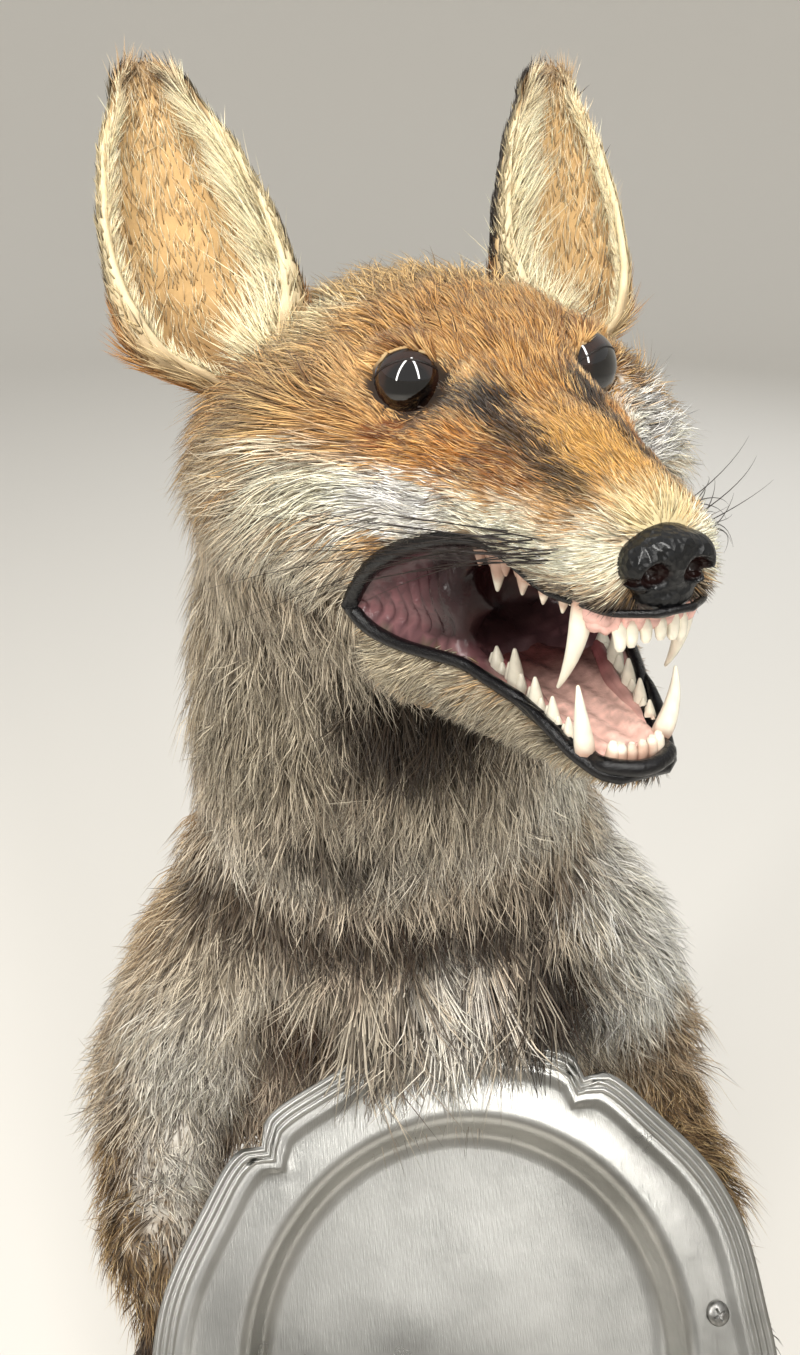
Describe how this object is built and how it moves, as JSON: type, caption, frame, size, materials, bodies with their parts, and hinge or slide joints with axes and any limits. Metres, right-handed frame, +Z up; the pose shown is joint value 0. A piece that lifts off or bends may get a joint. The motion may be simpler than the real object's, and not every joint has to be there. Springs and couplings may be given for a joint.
{
  "type": "taxidermy red fox",
  "caption": "Life-size taxidermy red fox standing upright on a wooden base, jaws open, holding a lobed pewter dish on its forepaws.",
  "frame": {"origin": "on the base's underside, straight below the middle of the trunk", "axes": "+Z up; the fox's chest and dish face -Y, its left side is +X"},
  "size_m": [0.3, 0.4786, 0.9501],
  "materials": {
    "coat_rufous": "tanned pelt with rufous fur",
    "coat_grey": "tanned pelt with grizzled grey-brown fur",
    "coat_white": "tanned pelt with cream-white fur",
    "coat_dark": "tanned pelt with black-brown short fur",
    "eye_glass": "polished dark glass",
    "nose_skin": "pebbled, varnished black skin",
    "tooth_ivory": "smooth ivory",
    "pewter": "worn, lightly scratched pewter",
    "screw_steel": "dull steel",
    "base_wood": "stained and waxed"
  },
  "bodies": {
    "root": {"head": "coat_rufous", "lower_jaw": "coat_white", "nose": "nose_skin", "upper_teeth": "tooth_ivory", "lower_teeth": "tooth_ivory", "eye_right": "eye_glass", "eye_left": "eye_glass", "ear_right": "coat_grey", "ear_left": "coat_grey", "trunk": "coat_grey", "neck": "coat_grey", "upper_arm_right": "coat_grey", "upper_arm_left": "coat_grey", "forearm_right": "coat_grey", "forearm_left": "coat_grey", "forepaw_right": "coat_dark", "forepaw_left": "coat_dark", "thigh_right": "coat_rufous", "thigh_left": "coat_rufous", "shank_right": "coat_rufous", "shank_left": "coat_rufous", "hind_foot_right": "coat_dark", "hind_foot_left": "coat_dark", "tail_root": "coat_rufous", "tail_middle": "coat_grey", "tail_tip": "coat_white", "dish": "pewter", "screw_right": "screw_steel", "screw_left": "screw_steel", "stand_base": "base_wood"}
  },
  "joints": []
}
